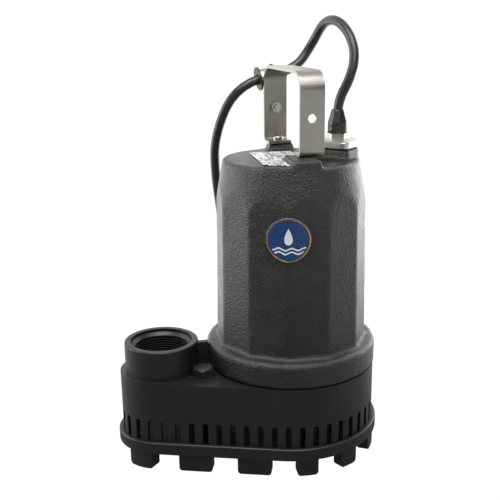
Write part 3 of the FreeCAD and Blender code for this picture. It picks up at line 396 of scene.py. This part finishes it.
label = {
    "rowPitch": 0.0052,
    "rowHalf": 0.27,        # half a row's height, in pitches
    "rowShift": 0.0137,     # how far the dashes move from row to row
    "dashSize": 0.0030,
    "dashCut": 0.46,
    "gapSize": 0.0120,
    "gapCut": 0.42,
}


def labelFinish():
    # white printed sheet: rows of dark dashes along X, no letters
    paint = Recipe("printedLabel", {"IOR": 1.45})
    at = paint.place()
    across, along = paint.axis(at, "Y"), paint.axis(at, "X")
    rows = across / label["rowPitch"]
    row = rows.apply("FLOOR")
    inRow = abs(rows.apply("FRACT") - 0.5) < label["rowHalf"]
    spot = paint.node("ShaderNodeCombineXYZ", {}, {0: along, 1: row * label["rowShift"], 2: 0.0})
    dash = paint.grain(spot, label["dashSize"], 1.0, 0.5) > label["dashCut"]
    gap = paint.grain(spot, label["gapSize"], 1.0, 0.5) > label["gapCut"]
    ink = inRow * dash * gap
    haze = paint.span(paint.grain(at, 0.006, 2.0, 0.5), 0.0, 1.0)
    sheet = paint.blend(haze, (0.50, 0.50, 0.49, 1), (0.60, 0.60, 0.59, 1))
    paint.drive("Base Color", paint.blend(ink, sheet, (0.012, 0.012, 0.013, 1)))
    paint.drive("Roughness", paint.span(haze, 0.34, 0.42, 0.0, 1.0))
    paint.bump(paint.grain(at, 0.0012, 2.0, 0.5), 0.00002)
    return paint


badge = {
    "centre": (0.0380, 0.0),
    "height": 0.1992,
    "turn": math.radians(-15.0),     # the badge's own X runs along its face
    "cornerRadius": 0.06299,
    "facetTurn": math.radians(15.0),
    "lean": 0.0148,                  # the housing narrows by this much per metre of height
    "radius": 0.0180,
    "rings": 12,
    "segments": 72,
    "thick": 0.0009,
    "rimBreak": 0.0003,
    "sunk": 0.0008,
    "cornerSoftness": 0.0026,
}
emblem = {      # in millimetres from the badge's middle
    "ringAt": 16.9,
    "ringHalf": 0.55,
    "dropFoot": -3.5,
    "dropHeight": 13.5,
    "dropWidth": 9.0,
    "waveHeights": (-6.9, -9.9),
    "waveHalf": 0.65,
    "waveSwing": 0.9,
    "wavePace": 0.62,       # radians per millimetre
    "waveInset": 2.0,
}


def badgeFinish():
    # navy enamel in a gilt ring with a pale drop over two waves
    paint = Recipe("roundBadge", {"IOR": 1.5})
    at = paint.place(centre=(*badge["centre"], badge["height"]), turn=(0, 0, -badge["turn"]))
    u, v = paint.axis(at, "X") * 1000.0, paint.axis(at, "Z") * 1000.0
    radius = (u * u + v * v) ** 0.5
    ring = abs(radius - emblem["ringAt"]) < emblem["ringHalf"]
    rise = ((v - emblem["dropFoot"]) / emblem["dropHeight"]).apply("MAXIMUM")
    fall = (1.0 - rise).apply("MAXIMUM")
    drop = abs(u) < rise ** 0.5 * fall ** 1.15 * emblem["dropWidth"]
    wave = (u * emblem["wavePace"]).apply("SINE") * emblem["waveSwing"]
    inside = radius < emblem["ringAt"] - emblem["waveInset"]
    upper, lower = (abs(v - height - wave) < emblem["waveHalf"] for height in emblem["waveHeights"])
    waves = (upper + lower) * inside
    pale = drop.apply("MAXIMUM", waves)
    speck = paint.span(paint.grain(paint.place(), 0.0012, 2.0, 0.5), 0.0, 1.0)
    navy = paint.blend(speck, (0.007, 0.030, 0.105, 1), (0.010, 0.042, 0.135, 1))
    gilt = paint.blend(speck, (0.42, 0.27, 0.06, 1), (0.58, 0.40, 0.11, 1))
    face = paint.blend(pale, navy, (0.62, 0.66, 0.70, 1))
    paint.drive("Base Color", paint.blend(ring, face, gilt))
    paint.drive("Metallic", ring)
    paint.drive("Roughness", paint.span(speck, 0.24, 0.32, 0.0, 1.0))
    paint.bump(ring * 0.8 + pale * 0.5, 0.00025)
    return paint


strapTurn = math.radians(5.8)
finishes = {
    "cast_paint": castPaint(),
    "black_plastic": blackPlastic("blackPlastic", (0.0085, 0.009, 0.010), 0.44),
    "inner_plastic": blackPlastic("innerPlastic", (0.018, 0.018, 0.019), 0.5),
    "black_bolt": rubber("blackBolt", (0.009, 0.0095, 0.010), 0.36, 0.0014, 0.00008),
    "satin_stainless": brushedSteel("satinStainless", (0.41, 0.392, 0.36), 0.36,
                                    (2600.0, 55.0, 55.0), strapTurn),
    "polished_stainless": polishedSteel("polishedStainless", (0.58, 0.565, 0.535), 0.30),
    "zinc_steel": polishedSteel("zincSteel", (0.62, 0.62, 0.61), 0.24),
    "cord_rubber": rubber("cordRubber", (0.0085, 0.009, 0.0095), 0.37),
    "soft_rubber": rubber("softRubber", (0.0065, 0.0065, 0.0065), 0.5),
    "cord_tie": rubber("cordTie", (0.007, 0.007, 0.007), 0.42),
    "plug_brass": polishedSteel("plugBrass", (0.80, 0.62, 0.30), 0.22),
    "cast_iron": innerFinish("machinedIron", (0.30, 0.30, 0.30), 1.0, 0.42),
    "bearing_steel": innerFinish("bearingSteel", (0.66, 0.66, 0.66), 1.0, 0.20, 0.001),
    "ceramic": innerFinish("sealCeramic", (0.82, 0.80, 0.74), 0.0, 0.25),
    "carbon": innerFinish("sealCarbon", (0.03, 0.03, 0.032), 0.0, 0.40),
    "core_steel": laminatedSteel(),
    "rotor_aluminium": innerFinish("rotorAluminium", (0.68, 0.68, 0.70), 1.0, 0.42, 0.003),
    "copper": windingFinish(),
    "capacitor_can": innerFinish("capacitorCan", (0.03, 0.03, 0.033), 0.0, 0.30),
    "lead_insulation": innerFinish("leadInsulation", (0.42, 0.03, 0.02), 0.0, 0.42),
    "label": labelFinish(),
    "badge": badgeFinish(),
}
slotOf = {row["node"]: row["material_slot"] for row in frame["record"]["subparts"]}


def finishCadNodes():
    for name, node in nodes.items():
        for holder in node.material_slots:
            holder.material = finishes[slotOf[name]].material


finishCadNodes()
print("finishes:", len(finishes))


# ways to make a piece

def addPiece(name, shape, finish, smoothAngle):
    mesh = bpy.data.meshes.new(name)
    shape.to_mesh(mesh)
    shape.free()
    mesh.shade_smooth()
    mesh.set_sharp_from_angle(angle=math.radians(smoothAngle))
    mesh.materials.append(finish.material)
    piece = bpy.data.objects.new(name, mesh)
    collection.objects.link(piece)
    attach(piece, "pump")
    return piece


def settle(piece):
    # the modifiers' result becomes the piece's own mesh
    bpy.context.view_layer.update()
    graph = bpy.context.evaluated_depsgraph_get()
    mesh = bpy.data.meshes.new_from_object(piece.evaluated_get(graph))
    piece.modifiers.clear()
    piece.data = mesh


def mergedCopy(node):
    shape = bmesh.new()
    shape.from_mesh(nodes[node].data)
    bmesh.ops.remove_doubles(shape, verts=shape.verts, dist=2e-6)
    return shape


# motor housing

housing = {
    "voxel": 0.0014,
    "softenRounds": 7,
    "soften": 0.5,
    "lumpSize": 0.016,
    "lumpDepth": 0.00022,
    "pitSize": 0.0048,
    "pitDepth": 0.00010,
}


def makeHousing():
    piece = addPiece("motorHousing", mergedCopy("motor_housing"), finishes["cast_paint"],
                     180.0)
    remesh = piece.modifiers.new("skin", "REMESH")
    remesh.mode = "VOXEL"
    remesh.voxel_size = housing["voxel"]
    remesh.use_smooth_shade = True
    settle(piece)
    shape = bmesh.new()
    shape.from_mesh(piece.data)
    for _ in range(housing["softenRounds"]):
        bmesh.ops.smooth_vert(shape, verts=shape.verts, factor=housing["soften"],
                              use_axis_x=True, use_axis_y=True, use_axis_z=True)
    shape.normal_update()
    for vert in shape.verts:
        lump = noise.noise(vert.co / housing["lumpSize"]) * housing["lumpDepth"]
        pit = noise.noise(vert.co / housing["pitSize"]) * housing["pitDepth"]
        vert.co += vert.normal * (lump + pit)
    shape.to_mesh(piece.data)
    shape.free()
    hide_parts("motor_housing")
    print("housing: faces", len(piece.data.polygons))


makeHousing()


# badge on the front corner

def badgePoint(u, v, lift):
    # across the face, up the face, out from the housing
    bend = math.sqrt(u * u + badge["cornerSoftness"] ** 2) - badge["cornerSoftness"]
    out = badge["cornerRadius"] - v * badge["lean"] - bend * math.tan(badge["facetTurn"]) + lift
    turn = badge["turn"] - math.pi / 2
    place = Vector((*badge["centre"], badge["height"] + v))
    place += Vector((math.cos(turn), math.sin(turn), 0)) * out
    place += Vector((math.cos(badge["turn"]), math.sin(badge["turn"]), 0)) * u
    return place


def makeBadge():
    shape = bmesh.new()
    radius, thick, rimBreak = badge["radius"], badge["thick"], badge["rimBreak"]
    profile = [(radius * i / badge["rings"], thick) for i in range(1, badge["rings"])]
    profile += [(radius - rimBreak, thick), (radius, thick - rimBreak), (radius, -badge["sunk"])]
    middle = shape.verts.new(badgePoint(0, 0, badge["thick"]))
    last = None
    for reach, lift in profile:
        ringVerts = []
        for k in range(badge["segments"]):
            angle = 2 * math.pi * k / badge["segments"]
            spot = badgePoint(reach * math.cos(angle), reach * math.sin(angle), lift)
            ringVerts.append(shape.verts.new(spot))
        for k in range(badge["segments"]):
            after = (k + 1) % badge["segments"]
            if last is None:
                shape.faces.new((middle, ringVerts[k], ringVerts[after]))
            else:
                shape.faces.new((last[k], ringVerts[k], ringVerts[after], last[after]))
        last = ringVerts
    piece = addPiece("frontBadge", shape, finishes["badge"], 40.0)
    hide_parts("front_badge")


makeBadge()
print("badge: made")


# pieces whose CAD edges are softened

softened = {
    "handle_strap": {"width": 0.00045, "segments": 3, "angle": 30.0},
    "strainer_base": {"width": 0.00035, "segments": 2, "angle": 40.0},
}


flatAngle = math.radians(0.6)      # faces this near to level with each other are joined first


def makeSoftened():
    for node, amounts in softened.items():
        shape = mergedCopy(node)
        bmesh.ops.dissolve_limit(shape, angle_limit=flatAngle, verts=shape.verts, edges=shape.edges)
        sharpAngle = math.radians(amounts["angle"])
        sharp = [edge for edge in shape.edges
                 if len(edge.link_faces) == 2 and edge.calc_face_angle(0) > sharpAngle]
        bmesh.ops.bevel(shape, geom=sharp, offset=amounts["width"], segments=amounts["segments"],
                        profile=0.5, affect="EDGES", clamp_overlap=True, material=-1)
        first, second = node.split("_")
        title = first + second.capitalize()
        piece = addPiece(title, shape, finishes[slotOf[node]], 30.0)
        even = piece.modifiers.new("evenNormals", "WEIGHTED_NORMAL")
        even.keep_sharp = True
        settle(piece)
        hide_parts(node)
        print("softened:", title, len(piece.data.polygons))


makeSoftened()


# cord sleeve

sleeve = {
    "centre": (0.0780, 0.0020),
    "segments": 96,
    "flats": 8,
    "flatSwell": 1.02,
    # height, radius, share of flatness
    "profile": [
        (0.2616, 0.0062, 0.0), (0.2726, 0.0062, 0.0), (0.2726, 0.0077, 0.0), (0.2731, 0.0081, 0.0),
        (0.2778, 0.0081, 0.0), (0.2781, 0.0079, 0.0), (0.2786, 0.0079, 0.0), (0.2789, 0.0081, 0.1),
        (0.2810, 0.0081, 0.5), (0.2822, 0.0079, 1.0), (0.2862, 0.0067, 1.0), (0.2902, 0.0056, 1.0),
        (0.2914, 0.0052, 0.6), (0.2917, 0.0047, 0.2), (0.2915, 0.0042, 0.0), (0.2860, 0.0042, 0.0),
    ],
}


def makeSleeve():
    shape = bmesh.new()
    rings = []
    for height, radius, flat in sleeve["profile"]:
        ringVerts = []
        for k in range(sleeve["segments"]):
            angle = 2 * math.pi * k / sleeve["segments"]
            wedge = math.pi / sleeve["flats"]
            within = (angle % (2 * wedge)) - wedge
            faceted = math.cos(wedge) / math.cos(within) * sleeve["flatSwell"]
            reach = radius * (1 + (faceted - 1) * flat)
            ringVerts.append(shape.verts.new((sleeve["centre"][0] + reach * math.cos(angle),
                                              sleeve["centre"][1] + reach * math.sin(angle), height)))
        rings.append(ringVerts)
    for lower, upper in zip(rings, rings[1:]):
        for k in range(sleeve["segments"]):
            after = (k + 1) % sleeve["segments"]
            shape.faces.new((lower[k], lower[after], upper[after], upper[k]))
    piece = addPiece("cordSleeve", shape, finishes[slotOf["cord_sleeve"]], 40.0)
    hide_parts("cord_sleeve")


makeSleeve()
print("sleeve: made")


# power cord

cord = {
    "radius": 0.0041,
    "route": [      # out of the sleeve, over, through the clamp, down behind and along the floor
        (0.0780, 0.0020, 0.2837),
        (0.0780, 0.0020, 0.2980),
        (0.0860, -0.0018, 0.3145),
        (0.0920, 0.0008, 0.3320),
        (0.0907, 0.0095, 0.3495),
        (0.0845, 0.0285, 0.3625),
        (0.0800, 0.0550, 0.3610),
        (0.0735, 0.0710, 0.3405),
        (0.0567, 0.0663, 0.3192),
        (0.0039, 0.0609, 0.3088),
        (-0.0150, 0.0715, 0.2640),
        (-0.0145, 0.0755, 0.2270),
        (-0.0090, 0.0795, 0.1900),
        (-0.0063, 0.0845, 0.1480),
        (-0.0050, 0.0895, 0.1040),
        (-0.0045, 0.0965, 0.0620),
        (-0.0043, 0.1085, 0.0290),
        (-0.0043, 0.1270, 0.0133),
        (-0.0043, 0.1450, 0.0133),
    ],
    "tail": [
        (0.0098, 0.1838, 0.0051),
        (0.0205, 0.1966, 0.0051),
        (0.0310, 0.2092, 0.0054),
        (0.0425, 0.2168, 0.0075),
        (0.0555, 0.2185, 0.0100),
        (0.0690, 0.2185, 0.0100),
    ],
    "length": 2.70,
    "coilCentre": (0.0560, 0.1450),
    "turnRadii": [0.0603, 0.0521, 0.0439, 0.0357],
    "layers": (0.0133, 0.0051),
    "pointsPerTurn": 16,
    "coilSteps": 113,
    "shiftShare": 0.2,      # share of a turn in which the cord moves to the next one
    "dropInset": 0.6,       # how far the cord swings inwards between layers, in diameters
}


def eased(share):
    return share * share * (3 - 2 * share)


def coilPoints():
    # the top layer winds inwards, drops through, and the bottom one winds outwards
    perTurn = cord["pointsPerTurn"]
    radii, (high, low) = cord["turnRadii"], cord["layers"]
    steps = [(radius, high) for radius in radii] + [(radius, low) for radius in reversed(radii)]
    steps += [steps[-1]] * 2
    stretch = 1 / math.cos(math.pi / perTurn)
    points = []
    for i in range(cord["coilSteps"]):
        turn, share = divmod(i / perTurn + 0.5 / perTurn, 1)
        turn = int(turn)
        (radius, height), (nextRadius, nextHeight) = steps[turn], steps[turn + 1]
        move = eased(max(0.0, (share - 1 + cord["shiftShare"]) / cord["shiftShare"]))
        radius += (nextRadius - radius) * move
        if height != nextHeight:
            radius -= 2 * cord["radius"] * math.sin(math.pi * move) * cord["dropInset"]
        height += (nextHeight - height) * move
        angle = math.pi - 2 * math.pi * (i + 0.5) / perTurn
        points.append((cord["coilCentre"][0] + radius * stretch * math.cos(angle),
                       cord["coilCentre"][1] + radius * stretch * math.sin(angle), height))
    return points


def makeCord():
    curve = bpy.data.curves.new("powerCord", "CURVE")
    curve.dimensions = "3D"
    spline = curve.splines.new("NURBS")
    points = cord["route"] + coilPoints() + cord["tail"]
    spline.points.add(len(points) - 1)
    for point, place in zip(spline.points, points):
        point.co = (*place, 1.0)
    spline.order_u = 3
    spline.use_endpoint_u = True
    curve.resolution_u = 6
    curve.bevel_depth = cord["radius"]
    curve.bevel_resolution = 5
    curve.use_fill_caps = True
    curve.materials.append(finishes["cord_rubber"].material)
    piece = bpy.data.objects.new("powerCord", curve)
    collection.objects.link(piece)
    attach(piece, "pump")
    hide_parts("power_cord_run", "power_cord_coil", "power_cord_tail")


makeCord()
print("cord: made")
